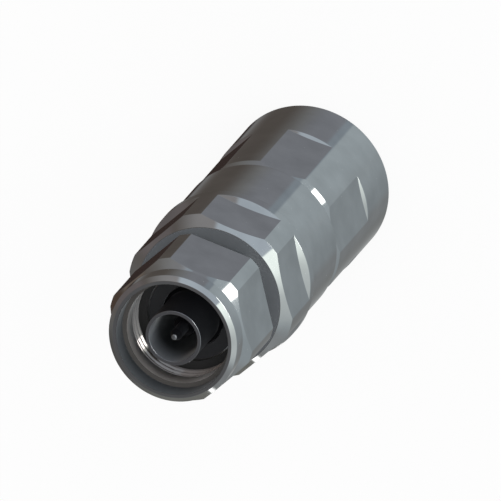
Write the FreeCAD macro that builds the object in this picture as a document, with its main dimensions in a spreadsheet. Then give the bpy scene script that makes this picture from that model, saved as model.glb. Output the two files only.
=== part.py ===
import FreeCAD, Part
import math
import os
from types import SimpleNamespace

import Sketcher

# N-type cable plug, clamp pattern, for half-inch superflexible feeder cable.
# Millimetres. The plug stands on its cable end: +Z runs from the cable entry to the mating end,
# and the origin is the centre of the clamp nut's rear face. Every piece is turned about +Z.

SIZES = [
    # Clamp nut, the rear half that takes the cable
    ("clamp_nut_wall", 1.55),
    ("clamp_nut_flat_depth", 0.5),
    ("clamp_nut_length", 23.4),
    ("clamp_nut_tail", 9.9),
    ("clamp_nut_rear_chamfer", 0.5),
    ("clamp_nut_lead_width", 0.5),
    ("clamp_nut_lead_length", 0.9),
    ("cable_bore_diameter", 14.2),
    ("cable_bore_chamfer", 0.5),
    ("rear_wall", 3.2),
    ("chamber_step", 0.05),
    ("spigot_tip_gap", 0.9),
    ("clamp_thread_depth", 0.55),
    ("o_ring_mouth_length", 1.5),
    # Front body, one turned piece
    ("joint_gap", 0.2),
    ("barrel_diameter", 23.0),
    ("barrel_length", 12.3),
    ("barrel_edge_chamfer", 0.5),
    ("body_diameter", 24.0),
    ("body_flat_depth", 1.0),
    ("body_length", 10.3),
    ("body_ring_length", 1.6),
    ("body_lead_width", 1.6),
    ("body_lead_length", 1.1),
    ("neck_wall", 1.55),
    ("neck_length", 6.05),
    ("neck_chamfer", 0.2),
    ("spigot_length", 7.9),
    ("spigot_wall", 1.78),
    ("spigot_chamfer", 0.3),
    ("o_ring_groove_width", 1.5),
    ("seat_bore_diameter", 15.24),
    ("seat_bore_length", 2.8),
    ("rear_bore_diameter", 12.6),
    ("middle_bore_diameter", 8.6),
    ("middle_bore_length", 7.2),
    # Coupling nut
    ("nut_gap", 2.7),
    ("nut_length", 13.9),
    ("nut_collar_wall", 1.2),
    ("nut_collar_length", 3.0),
    ("nut_cone_step", 1.2),
    ("nut_flat_depth", 1.0),
    ("nut_face_chamfer_width", 0.7),
    ("nut_face_chamfer_length", 0.45),
    ("nut_mouth_clearance", 0.16),
    ("nut_mouth_length", 2.85),
    ("thread_major_diameter", 15.88),
    ("thread_depth", 0.49),
    ("thread_start", 5.5),
    ("thread_length", 3.4),
    ("thread_relief_length", 0.6),
    ("nut_rear_edge", 0.15),
    ("running_gap", 0.05),
    # Retaining ring between neck and coupling nut
    ("ring_wire", 1.0),
    ("ring_setback", 1.3),
    ("ring_split_angle", 20.0),
    # Mating end
    ("sleeve_diameter", 8.0),
    ("sleeve_bore_diameter", 7.0),
    ("sleeve_reach", 10.0),
    ("sleeve_edge", 0.1),
    ("sleeve_shoulder_step", 0.4),
    ("sleeve_shoulder_length", 1.1),
    ("sleeve_shoulder_chamfer", 0.4),
    ("sleeve_flange_step", 0.6),
    ("sleeve_flange_length", 4.55),
    ("gasket_thickness", 1.0),
    ("gasket_inset", 0.15),
    # Centre conductor
    ("pin_tip_diameter", 1.65),
    ("pin_tip_setback", 0.25),
    ("pin_taper_depth", 0.475),
    ("pin_taper_length", 1.2),
    ("pin_nose_radius", 0.25),
    ("pin_diameter", 3.04),
    ("pin_shoulder_setback", 5.26),
    ("pin_rear_diameter", 4.0),
    ("pin_spigot_diameter", 2.2),
    ("pin_spigot_length", 2.8),
    ("basket_diameter", 5.4),
    ("basket_length", 11.9),
    ("basket_bore_diameter", 3.6),
    ("basket_web", 0.6),
    ("basket_mouth_chamfer", 0.3),
    ("basket_slot_width", 0.5),
    ("basket_slot_setback", 0.9),
    ("basket_slots", 4),
    ("basket_spring_wire", 0.5),
    ("basket_spring_setback", 1.0),
    # Insulators
    ("front_insulator_length", 4.5),
    ("rear_insulator_length", 4.5),
    ("insulator_relief_width", 1.0),
    ("insulator_relief_depth", 0.8),
    ("bushing_length", 3.0),
    ("bushing_wall", 1.58),
    ("bushing_chamfer", 0.5),
    ("support_length", 2.4),
    ("support_setback", 3.0),
    ("support_funnel_width", 1.6),
    # Cable clamp
    ("clamping_seat_length", 2.3),
    ("clamping_seat_wall", 1.8),
    ("clamping_seat_rim", 0.3),
    ("clamping_seat_cone_length", 1.3),
    ("clamp_gap", 0.45),
    ("collet_length", 4.15),
    ("collet_nose_inset", 0.1),
    ("collet_wall", 0.85),
    ("collet_ridge_height", 0.3),
    ("collet_ridge_length", 0.6),
    ("collet_flange_length", 1.8),
    ("collet_slot_width", 0.8),
    ("collet_slots", 6),
    ("collet_spring_wire", 0.5),
    ("collet_spring_rise", 3.0),
    ("follower_length", 2.0),
    ("follower_wall", 1.85),
    ("follower_chamfer", 0.5),
    ("cable_gasket_bore_diameter", 13.8),
    ("cable_gasket_rib_depth", 0.5),
    ("cable_gasket_ribs", 4),
    ("slip_washer_thickness", 0.8),
    ("slip_washer_wall", 1.85),
    # Seals and small clearances
    ("o_ring_wire", 1.2),
    ("o_ring_gap", 0.08),
    ("wire_groove_gap", 0.05),
    ("seat_gap", 0.02),
    ("loose_gap", 0.1),
    ("flat_shoulder_angle", 60.0),
    ("tool_overrun", 1.0),
]
AXIS = None  # stands for a zero length: the corner lies on the sketch's own axis


class Term:
    """A length that knows its value and the spreadsheet expression that drives it."""

    def __init__(self, value, text):
        self.value = value
        self.text = text

    def _joined(self, other, sign, value):
        text = other.text if isinstance(other, Term) else repr(other)
        return Term(value, f"({self.text} {sign} {text})")

    def __add__(self, other):
        return self._joined(other, "+", self.value + value_of(other))

    def __sub__(self, other):
        return self._joined(other, "-", self.value - value_of(other))

    def __mul__(self, other):
        return self._joined(other, "*", self.value * value_of(other))

    def __truediv__(self, other):
        return self._joined(other, "/", self.value / value_of(other))


def value_of(length):
    if length is AXIS:
        return 0.0
    return length.value if isinstance(length, Term) else length


doc = FreeCAD.newDocument("NTypePlug")
sheet = doc.addObject("Spreadsheet::Sheet", "Sizes")
for row, (name, value) in enumerate(SIZES, start=1):
    sheet.set(f"A{row}", name)
    sheet.set(f"B{row}", str(value))
    sheet.setAlias(f"B{row}", name)
doc.recompute()
s = SimpleNamespace(**{name: Term(value, f"Sizes.{name}") for name, value in SIZES})


def new_sketch(body, name, plane):
    """A sketch on one of the body's own origin planes."""
    sketch = body.newObject("Sketcher::SketchObject", name)
    support = [item for item in body.Origin.OriginFeatures if item.Role == plane][0]
    sketch.AttachmentSupport = (support, [""])
    sketch.MapMode = "FlatFace"
    return sketch


def draw_outline(sketch, outline):
    """Closed outline of straight lines, each corner held at its own two lengths."""
    corners = [FreeCAD.Vector(value_of(x), value_of(y), 0) for x, y in outline]
    count = len(corners)
    for index, corner in enumerate(corners):
        sketch.addGeometry(Part.LineSegment(corner, corners[(index + 1) % count]), False)
    for index in range(count):
        sketch.addConstraint(Sketcher.Constraint("Coincident", index, 2, (index + 1) % count, 1))
    for index, (x, y) in enumerate(outline):
        for kind, length, axis in (("DistanceX", x, -2), ("DistanceY", y, -1)):
            if length is AXIS:
                sketch.addConstraint(Sketcher.Constraint("PointOnObject", index, 1, axis))
                continue
            held = Sketcher.Constraint(kind, -1, 1, index, 1, length.value)
            number = sketch.addConstraint(held)
            sketch.setExpression(f"Constraints[{number}]", length.text)


def turned_body(name, outline):
    """A body turned about +Z; the outline is its half section as (radius, height) corners."""
    body = doc.addObject("PartDesign::Body", name)
    sketch = new_sketch(body, f"{name}_section", "XZ_Plane")
    draw_outline(sketch, outline)
    turn = body.newObject("PartDesign::Revolution", f"{name}_turned")
    turn.Profile = sketch
    turn.ReferenceAxis = (sketch, ["V_Axis"])
    turn.Angle = 360.0
    body.Tip = turn
    doc.recompute()
    return body


def slotted(body, name, width, bottom, top, slots):
    """Cuts an even number of radial slots, each pair by one cut right across the axis."""
    before = body.Shape.Volume
    half = width / 2
    sketch = new_sketch(body, f"{name}_slot", "XZ_Plane")
    draw_outline(sketch, [(half * -1, bottom), (half, bottom), (half, top), (half * -1, top)])
    cut = body.newObject("PartDesign::Pocket", f"{name}_slot_cut")
    cut.Profile = sketch
    cut.Type = "ThroughAll"
    cut.Midplane = True
    doc.recompute()
    pattern = body.newObject("PartDesign::PolarPattern", f"{name}_slots")
    pattern.Originals = [cut]
    pattern.Axis = (sketch, ["V_Axis"])
    pattern.Angle = 180.0
    body.Tip = pattern
    pattern.setExpression("Occurrences", f"{slots.text} / 2")
    doc.recompute()
    if body.Shape.Volume >= before:
        raise RuntimeError(f"{name}: the slots cut nothing")
    return body


def hexagon(name, across_flats, bottom, height):
    """Six-sided bar about +Z with its flats facing +X and every 60 degrees from there."""
    bar = doc.addObject("Part::Prism", name)
    bar.Polygon = 6
    bar.setExpression("Circumradius", f"{across_flats.text} / 2 / cos(30)")
    bar.setExpression("Height", height.text)
    bar.Placement.Rotation = FreeCAD.Rotation(FreeCAD.Vector(0, 0, 1), 30)
    bar.setExpression("Placement.Base.z", bottom.text)
    return bar


def with_flats(name, blank, across_flats, ring_outline, bottom, height):
    """Mills six flats on a turned blank, over the ring that the outline sweeps."""
    ring = turned_body(f"{name}_milled_ring", ring_outline)
    bar = hexagon(f"{name}_hexagon", across_flats, bottom, height)
    chips = doc.addObject("Part::Cut", f"{name}_chips")
    chips.Base = ring
    chips.Tool = bar
    milled = doc.addObject("Part::Cut", f"{name}_milled")
    milled.Base = blank
    milled.Tool = chips
    doc.recompute()
    if milled.Shape.Volume >= blank.Shape.Volume:
        raise RuntimeError(f"{name}: the flats cut nothing")
    return milled


def wire_ring(name, mean_radius, wire, height, split=None):
    """Round wire bent to a ring about +Z, open at one side if a split angle is given."""
    ring = doc.addObject("Part::Torus", name)
    ring.setExpression("Radius1", mean_radius.text)
    ring.setExpression("Radius2", f"{wire.text} / 2")
    ring.setExpression("Placement.Base.z", height.text)
    if split:
        ring.setExpression("Angle3", f"360 - {split.text}")
    doc.recompute()
    return ring


# Heights of the main faces above the cable end
joint_height = s.clamp_nut_length
barrel_height = joint_height + s.joint_gap
ring_height = barrel_height + s.barrel_length
face_height = ring_height + s.body_length
seat_height = face_height + s.neck_length
mating_height = seat_height + s.sleeve_reach
nut_height = face_height + s.nut_gap
front_height = nut_height + s.nut_length
sleeve_base = seat_height - s.sleeve_flange_length
middle_top = sleeve_base - s.front_insulator_length
middle_base = middle_top - s.middle_bore_length
basket_top = middle_base - s.rear_insulator_length
basket_base = basket_top - s.basket_length
spigot_base = barrel_height - s.spigot_length
seat_top = spigot_base + s.seat_bore_length
seat_foot = seat_top - s.clamping_seat_length
collet_base = seat_foot - s.clamp_gap - s.collet_length
gasket_top = collet_base - s.follower_length
washer_top = s.rear_wall + s.slip_washer_thickness
retainer_height = nut_height + s.ring_setback

# Radii that one piece takes from another
seat_bore = s.seat_bore_diameter / 2
spigot_root = seat_bore + s.spigot_wall
clamp_thread = spigot_root + s.clamp_thread_depth
clamp_mouth = clamp_thread + s.loose_gap
chamber = spigot_root - s.chamber_step
rear_bore = s.rear_bore_diameter / 2
sleeve_radius = s.sleeve_diameter / 2
sleeve_shoulder = sleeve_radius + s.sleeve_shoulder_step
front_bore = sleeve_shoulder + s.sleeve_flange_step
neck = front_bore + s.neck_wall
ring_mean = neck + s.running_gap / 2
seat_cone_foot = seat_bore - s.seat_gap - s.clamping_seat_rim
seat_inner = seat_bore - s.seat_gap - s.clamping_seat_wall
seat_slope = s.clamping_seat_cone_length / (seat_cone_foot - seat_inner)
collet_nose = seat_cone_foot - s.collet_nose_inset


def shoulder_ring(face_radius, flat, shoulder, top):
    """Section of the metal milled off outside a hexagon, down to a conical shoulder."""
    inner = flat / 2 - s.tool_overrun
    outer = face_radius + s.tool_overrun
    slope = f"tan({s.flat_shoulder_angle.text})"
    steep = Term(math.tan(math.radians(s.flat_shoulder_angle.value)), slope)
    inner_height = shoulder + (face_radius - inner) / steep
    outer_height = shoulder - (outer - face_radius) / steep
    return [(inner, inner_height), (outer, outer_height), (outer, top), (inner, top)]


def make_clamp_nut():
    """Rear nut: cable entry, gasket chamber and clamp thread, with six wrench flats."""
    radius = clamp_thread + s.clamp_nut_wall
    flats = (radius - s.clamp_nut_flat_depth) * 2
    bore = s.cable_bore_diameter / 2
    chamber_top = spigot_base - s.spigot_tip_gap
    mouth_base = joint_height - s.o_ring_mouth_length
    blank = turned_body("clamp_nut_blank", [
        (bore + s.cable_bore_chamfer, AXIS),
        (radius - s.clamp_nut_rear_chamfer, AXIS),
        (radius, s.clamp_nut_rear_chamfer),
        (radius, joint_height - s.clamp_nut_lead_length),
        (radius - s.clamp_nut_lead_width, joint_height),
        (clamp_mouth, joint_height),
        (clamp_mouth, mouth_base),
        (clamp_thread, mouth_base),
        (clamp_thread, chamber_top),
        (chamber, chamber_top),
        (chamber, s.rear_wall),
        (bore, s.rear_wall),
        (bore, s.cable_bore_chamfer),
    ])
    ring = shoulder_ring(radius, flats, s.clamp_nut_tail, joint_height + s.tool_overrun)
    return with_flats("clamp_nut", blank, flats, ring, s.rear_wall, joint_height)


def make_slip_washer():
    """Thin brass washer that lets the clamp nut turn without winding the gasket."""
    outer = chamber - s.loose_gap
    inner = outer - s.slip_washer_wall
    return turned_body("slip_washer_blank", [
        (inner, s.rear_wall), (outer, s.rear_wall), (outer, washer_top), (inner, washer_top),
    ])


def make_cable_gasket():
    """Silicone sleeve that seals on the cable jacket, ribbed inside and out."""
    inner = s.cable_gasket_bore_diameter / 2
    outer = chamber - s.loose_gap
    pitch = (gasket_top - washer_top) / s.cable_gasket_ribs
    right = []
    left = []
    for rib in range(int(s.cable_gasket_ribs.value)):
        crest = washer_top + pitch * rib
        crest_end = crest + pitch / 2
        valley = crest_end + pitch / 4
        right += [(outer, crest), (outer, crest_end), (outer - s.cable_gasket_rib_depth, valley)]
        left += [(inner, crest), (inner, crest_end), (inner + s.cable_gasket_rib_depth, valley)]
    right.append((outer, gasket_top))
    left.append((inner, gasket_top))
    return turned_body("cable_gasket_blank", right + left[::-1])


def make_gasket_follower():
    """Brass ring that presses the gasket when the plug is screwed together."""
    outer = chamber - s.loose_gap
    inner = outer - s.follower_wall
    return turned_body("gasket_follower_blank", [
        (inner, gasket_top),
        (outer, gasket_top),
        (outer, collet_base),
        (inner + s.follower_chamfer, collet_base),
        (inner, collet_base - s.follower_chamfer),
    ])


def make_clamping_collet():
    """Slotted brass collet whose ridge drops into a valley of the corrugated conductor."""
    bore = collet_nose - s.collet_wall
    ridge = bore - s.collet_ridge_height
    flange = chamber - s.loose_gap
    flange_top = collet_base + s.collet_flange_length
    nose_top = seat_foot + (seat_cone_foot - collet_nose) * seat_slope - s.clamp_gap
    ridge_top = seat_foot + (seat_cone_foot - ridge) * seat_slope - s.clamp_gap
    ridge_base = ridge_top - s.collet_ridge_length
    groove = collet_nose - s.collet_spring_wire / 2
    spring = collet_base + s.collet_spring_rise
    groove_half = s.collet_spring_wire / 2 + s.wire_groove_gap
    body = turned_body("clamping_collet_body", [
        (bore, collet_base),
        (flange, collet_base),
        (flange, flange_top),
        (collet_nose, flange_top),
        (collet_nose, spring - groove_half),
        (groove, spring - groove_half),
        (groove, spring + groove_half),
        (collet_nose, spring + groove_half),
        (collet_nose, nose_top),
        (ridge, ridge_top),
        (ridge, ridge_base),
        (bore, ridge_base - (bore - ridge)),
    ])
    slot_base = collet_base + s.collet_flange_length / 2
    return slotted(body, "clamping_collet", s.collet_slot_width, slot_base,
                   ridge_top + s.tool_overrun, s.collet_slots)


def make_collet_spring():
    """Wire ring in the collet's groove that keeps its fingers closed in."""
    mean = collet_nose + s.seat_gap
    return wire_ring("collet_spring_wire_ring", mean, s.collet_spring_wire,
                     collet_base + s.collet_spring_rise, s.ring_split_angle)


def make_clamping_seat():
    """Brass ring pressed into the body; its cone backs the flared outer conductor."""
    outer = seat_bore - s.seat_gap
    return turned_body("clamping_seat_blank", [
        (seat_inner, seat_foot + s.clamping_seat_cone_length),
        (seat_cone_foot, seat_foot),
        (outer, seat_foot),
        (outer, seat_top),
        (seat_inner, seat_top),
    ])


def make_front_body():
    """Front body: threaded spigot, barrel, wrench flats and the neck for the coupling nut."""
    barrel = s.barrel_diameter / 2
    radius = s.body_diameter / 2
    flats = (radius - s.body_flat_depth) * 2
    face = radius - s.body_lead_width
    groove = clamp_mouth - s.o_ring_gap - s.o_ring_wire
    middle = s.middle_bore_diameter / 2
    ring_half = s.ring_wire / 2 + s.wire_groove_gap
    ring_floor = ring_mean - ring_half
    blank = turned_body("front_body_blank", [
        (seat_bore, spigot_base),
        (spigot_root - s.spigot_chamfer, spigot_base),
        (spigot_root, spigot_base + s.spigot_chamfer),
        (spigot_root, barrel_height - s.o_ring_groove_width),
        (groove, barrel_height - s.o_ring_groove_width),
        (groove, barrel_height),
        (barrel - s.barrel_edge_chamfer, barrel_height),
        (barrel, barrel_height + s.barrel_edge_chamfer),
        (barrel, ring_height),
        (radius, ring_height),
        (radius, face_height - s.body_lead_length),
        (face, face_height),
        (neck, face_height),
        (neck, retainer_height - ring_half),
        (ring_floor, retainer_height - ring_half),
        (ring_floor, retainer_height + ring_half),
        (neck, retainer_height + ring_half),
        (neck, seat_height - s.neck_chamfer),
        (neck - s.neck_chamfer, seat_height),
        (front_bore, seat_height),
        (front_bore, middle_top),
        (middle, middle_top),
        (middle, middle_base),
        (rear_bore, middle_base),
        (rear_bore, seat_top),
        (seat_bore, seat_top),
    ])
    shoulder = ring_height + s.body_ring_length
    ring = shoulder_ring(radius, flats, shoulder, face_height + s.tool_overrun)
    return with_flats("front_body", blank, flats, ring, barrel_height, face_height)


def make_body_o_ring():
    """Silicone O-ring that seals the body in the mouth of the clamp nut."""
    mean = clamp_mouth - s.o_ring_gap - s.o_ring_wire / 2
    return wire_ring("body_o_ring_wire_ring", mean, s.o_ring_wire,
                     barrel_height - s.o_ring_groove_width / 2 - s.wire_groove_gap)


def bead(name, inner, outer, bottom, top):
    """PTFE bead with a ring-shaped relief turned into each face."""
    middle = (inner + outer) / 2
    relief_in = middle - s.insulator_relief_width / 2
    relief_out = middle + s.insulator_relief_width / 2
    floor = bottom + s.insulator_relief_depth
    ceiling = top - s.insulator_relief_depth
    return turned_body(name, [
        (inner, bottom), (relief_in, bottom), (relief_in, floor), (relief_out, floor),
        (relief_out, bottom), (outer, bottom), (outer, top), (relief_out, top),
        (relief_out, ceiling), (relief_in, ceiling), (relief_in, top), (inner, top),
    ])


def make_front_insulator():
    """Front bead: centres the pin in the body behind the outer contact."""
    inner = s.pin_diameter / 2 + s.seat_gap
    outer = front_bore - s.seat_gap
    return bead("front_insulator_blank", inner, outer, middle_top, sleeve_base)


def make_rear_insulator():
    """Rear bead: carries the pin against the step of the body's rear bore."""
    inner = s.pin_rear_diameter / 2 + s.seat_gap
    outer = rear_bore - s.seat_gap
    return bead("rear_insulator_blank", inner, outer, basket_top, middle_base)


def make_insulator_bushing():
    """Brass bushing pressed in behind the rear bead to hold it."""
    outer = rear_bore - s.seat_gap
    inner = outer - s.bushing_wall
    bottom = basket_top - s.bushing_length
    return turned_body("insulator_bushing_blank", [
        (inner + s.bushing_chamfer, bottom), (outer, bottom), (outer, basket_top),
        (inner, basket_top), (inner, bottom + s.bushing_chamfer),
    ])


def make_basket_support():
    """Plastic ring with a funnel that centres the slotted socket as the cable goes in."""
    inner = s.basket_diameter / 2 + s.running_gap
    outer = rear_bore - s.seat_gap
    bottom = basket_base + s.support_setback
    return turned_body("basket_support_blank", [
        (inner, bottom + s.support_length / 2),
        (inner + s.support_funnel_width, bottom),
        (outer, bottom),
        (outer, bottom + s.support_length),
        (inner, bottom + s.support_length),
    ])


def make_contact_basket():
    """Slotted brass socket that grips the cable's inner conductor."""
    outer = s.basket_diameter / 2
    bore = s.basket_bore_diameter / 2
    hole = s.pin_spigot_diameter / 2 + s.seat_gap
    spring = basket_base + s.basket_spring_setback
    groove_half = s.basket_spring_wire / 2 + s.wire_groove_gap
    groove = outer - groove_half
    web_top = basket_top - s.pin_spigot_length - s.loose_gap
    bore_top = web_top - s.basket_web
    body = turned_body("contact_basket_body", [
        (AXIS, bore_top),
        (bore, bore_top),
        (bore, basket_base + s.basket_mouth_chamfer),
        (bore + s.basket_mouth_chamfer, basket_base),
        (outer, basket_base),
        (outer, spring - groove_half),
        (groove, spring - groove_half),
        (groove, spring + groove_half),
        (outer, spring + groove_half),
        (outer, basket_top),
        (hole, basket_top),
        (hole, web_top),
        (AXIS, web_top),
    ])
    return slotted(body, "contact_basket", s.basket_slot_width, basket_base - s.tool_overrun,
                   bore_top - s.basket_slot_setback, s.basket_slots)


def make_basket_spring():
    """Wire ring round the socket's fingers that keeps them sprung in."""
    mean = s.basket_diameter / 2 + s.seat_gap
    return wire_ring("basket_spring_wire_ring", mean, s.basket_spring_wire,
                     basket_base + s.basket_spring_setback, s.ring_split_angle)


def make_centre_pin():
    """Silver-plated centre pin: tapered nose, coned shoulder, and a spigot pressed in the socket."""
    tip = s.pin_tip_diameter / 2
    stem = s.pin_diameter / 2
    rear = s.pin_rear_diameter / 2
    spigot = s.pin_spigot_diameter / 2
    tip_height = mating_height - s.pin_tip_setback
    body = turned_body("centre_pin_body", [
        (AXIS, basket_top - s.pin_spigot_length),
        (spigot, basket_top - s.pin_spigot_length),
        (spigot, basket_top),
        (rear, basket_top),
        (rear, middle_top),
        (stem, middle_top),
        (stem, mating_height - s.pin_shoulder_setback),
        (tip, mating_height - s.pin_shoulder_setback + (stem - tip)),
        (tip, tip_height - s.pin_taper_length),
        (tip - s.pin_taper_depth, tip_height),
        (AXIS, tip_height),
    ])
    turned = body.Tip
    end_edges = [f"Edge{number}" for number, edge in enumerate(turned.Shape.Edges, start=1)
                 if edge.BoundBox.ZMin > tip_height.value - 0.001]
    nose = body.newObject("PartDesign::Fillet", "centre_pin_nose")
    nose.Base = (turned, end_edges)
    nose.setExpression("Radius", s.pin_nose_radius.text)
    body.Tip = nose
    doc.recompute()
    return body


def make_outer_contact():
    """Outer contact: unslotted sleeve at the mating end, pressed in the body by its flange."""
    inner = s.sleeve_bore_diameter / 2
    flange = front_bore - s.seat_gap
    shoulder_top = seat_height + s.sleeve_shoulder_length
    return turned_body("outer_contact_blank", [
        (inner, sleeve_base),
        (flange, sleeve_base),
        (flange, seat_height),
        (sleeve_shoulder, seat_height),
        (sleeve_shoulder, shoulder_top),
        (sleeve_radius, shoulder_top + s.sleeve_shoulder_chamfer),
        (sleeve_radius, mating_height - s.sleeve_edge),
        (sleeve_radius - s.sleeve_edge, mating_height),
        (inner + s.sleeve_edge, mating_height),
        (inner, mating_height - s.sleeve_edge),
    ])


def make_interface_gasket():
    """Flat silicone ring on the neck's face that seals against the mating jack's rim."""
    inner = sleeve_shoulder + s.loose_gap
    outer = neck - s.gasket_inset
    top = seat_height + s.gasket_thickness
    return turned_body("interface_gasket_blank", [
        (inner, seat_height), (outer, seat_height), (outer, top), (inner, top),
    ])


def make_nut_retaining_ring():
    """Split spring-wire ring, half in the neck's groove and half in the coupling nut's."""
    return wire_ring("nut_retaining_ring_wire", ring_mean, s.ring_wire, retainer_height,
                     s.ring_split_angle)


def make_coupling_nut():
    """Coupling nut: round collar in front, six flats behind, mouth, thread and ring groove."""
    major = s.thread_major_diameter / 2
    minor = major - s.thread_depth
    mouth = major + s.nut_mouth_clearance
    collar = mouth + s.nut_collar_wall
    face = collar - s.nut_face_chamfer_width
    corner = collar + s.nut_cone_step
    flats = (corner - s.nut_flat_depth) * 2
    bore = neck + s.running_gap
    collar_base = front_height - s.nut_collar_length
    mouth_base = front_height - s.nut_mouth_length
    thread_top = front_height - s.thread_start
    thread_base = thread_top - s.thread_length
    inner_wall = thread_base - s.thread_relief_length
    ring_half = s.ring_wire / 2 + s.wire_groove_gap
    ring_roof = ring_mean + ring_half
    blank = turned_body("coupling_nut_blank", [
        (bore, nut_height),
        (corner - s.nut_rear_edge, nut_height),
        (corner, nut_height + s.nut_rear_edge),
        (corner, collar_base - (corner - collar)),
        (collar, collar_base),
        (collar, front_height - s.nut_face_chamfer_length),
        (face, front_height),
        (mouth, front_height),
        (mouth, mouth_base),
        (minor, mouth_base),
        (minor, thread_top),
        (major, thread_top),
        (major, thread_base),
        (mouth, thread_base),
        (mouth, inner_wall),
        (bore, inner_wall),
        (bore, retainer_height + ring_half),
        (ring_roof, retainer_height + ring_half),
        (ring_roof, retainer_height - ring_half),
        (bore, retainer_height - ring_half),
    ])
    inner = flats / 2 - s.tool_overrun
    outer = corner + s.tool_overrun
    low = nut_height - s.tool_overrun
    high = front_height + s.tool_overrun
    ring = [(inner, low), (outer, low), (outer, high), (inner, high)]
    return with_flats("coupling_nut", blank, flats, ring, barrel_height, front_height)


MAKERS = {
    "clamp_nut": make_clamp_nut,
    "slip_washer": make_slip_washer,
    "cable_gasket": make_cable_gasket,
    "gasket_follower": make_gasket_follower,
    "clamping_collet": make_clamping_collet,
    "collet_spring": make_collet_spring,
    "clamping_seat": make_clamping_seat,
    "front_body": make_front_body,
    "body_o_ring": make_body_o_ring,
    "basket_support": make_basket_support,
    "basket_spring": make_basket_spring,
    "contact_basket": make_contact_basket,
    "insulator_bushing": make_insulator_bushing,
    "rear_insulator": make_rear_insulator,
    "front_insulator": make_front_insulator,
    "centre_pin": make_centre_pin,
    "outer_contact": make_outer_contact,
    "interface_gasket": make_interface_gasket,
    "nut_retaining_ring": make_nut_retaining_ring,
    "coupling_nut": make_coupling_nut,
}
parts = {}
for node, maker in MAKERS.items():
    parts[node] = maker()
    parts[node].Label = node
doc.recompute()

for item in doc.Objects:
    if "Invalid" in item.State or "Error" in item.State:
        raise RuntimeError(f"{item.Label} failed: {item.State}")
for node, item in parts.items():
    if item.Shape.isNull() or not item.Shape.isValid():
        raise RuntimeError(f"{node} has no valid shape")
    if len(item.Shape.Solids) != 1:
        raise RuntimeError(f"{node} has {len(item.Shape.Solids)} solids")

os.makedirs("parts", exist_ok=True)
for node, item in parts.items():
    item.Shape.exportStep(os.path.join("parts", f"{node}.step"))
    box = item.Shape.BoundBox
    print(f"{node}: {item.Shape.Volume:.1f} mm3, height {box.ZMin:.2f} to {box.ZMax:.2f}, "
          f"diameter {box.XLength:.2f}")
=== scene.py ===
import math

import bmesh
import bpy
from mathutils import Matrix, Vector


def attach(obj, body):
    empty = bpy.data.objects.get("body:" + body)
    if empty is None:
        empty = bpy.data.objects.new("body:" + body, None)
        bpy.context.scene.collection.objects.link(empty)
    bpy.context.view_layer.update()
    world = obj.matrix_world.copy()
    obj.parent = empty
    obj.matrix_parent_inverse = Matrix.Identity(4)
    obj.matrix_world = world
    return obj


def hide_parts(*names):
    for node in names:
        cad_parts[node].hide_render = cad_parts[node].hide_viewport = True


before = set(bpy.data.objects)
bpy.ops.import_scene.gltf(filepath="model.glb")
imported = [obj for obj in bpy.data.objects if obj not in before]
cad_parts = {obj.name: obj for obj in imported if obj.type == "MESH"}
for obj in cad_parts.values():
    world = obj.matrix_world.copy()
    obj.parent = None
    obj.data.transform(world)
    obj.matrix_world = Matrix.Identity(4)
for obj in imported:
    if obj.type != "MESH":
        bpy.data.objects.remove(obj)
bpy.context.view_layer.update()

# Clamp nut: the rear half of the plug, turned from brass bar and plated a dark satin nickel.
# Six wrench flats are milled in from its front down to a conical shoulder. Inside are the
# cable entry, the gasket chamber and the clamp thread, which screws up over the body's spigot.
mm = 0.001
clamp_pitch = 1.0
clamp_root = 9.95
clamp_thread_depth = 0.49
clamp_radius = 11.5
clamp_apothem = 11.0
joint_height = 23.4
clamp_shoulder = 9.9
clamp_lead_width = 0.5
clamp_lead_length = 0.9
cable_bore = 7.1
entry_chamfer = 0.5
rear_chamfer = 0.5
chamber_radius = 9.35
chamber_floor = 3.2
chamber_roof = 14.8
clamp_mouth = 10.05
clamp_mouth_base = 21.9
shoulder_slope = math.tan(math.radians(60))
easing = (0.0, 0.25, 0.5, 0.75, 1.0)
longest_cut = 0.45
touching = 0.0015
hair = 0.01


def eased(corners, ease, solid):
    """The section's corners, each worn round over a short cut, as (radius, height, direction) points."""
    points = []
    last = len(corners) - 1
    for index, (radius, height, own) in enumerate(corners):
        corner = Vector((radius, height))
        reach_in = corner - Vector(corners[index - 1][:2])
        reach_out = Vector(corners[(index + 1) % len(corners)][:2]) - corner
        if solid and index in (0, last):
            points.append((radius, height, (reach_in if index else reach_out).normalized()))
            continue
        if own == 0:
            points.append((radius, height, (reach_in.normalized() + reach_out.normalized()).normalized()))
            continue
        cut = min(own or ease, reach_in.length * longest_cut, reach_out.length * longest_cut)
        start = corner - reach_in.normalized() * cut
        end = corner + reach_out.normalized() * cut
        for share in easing:
            point = start.lerp(corner, share).lerp(corner.lerp(end, share), share)
            heading = reach_in.normalized().lerp(reach_out.normalized(), share)
            points.append((point.x, point.y, heading.normalized()))
    return points


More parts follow.
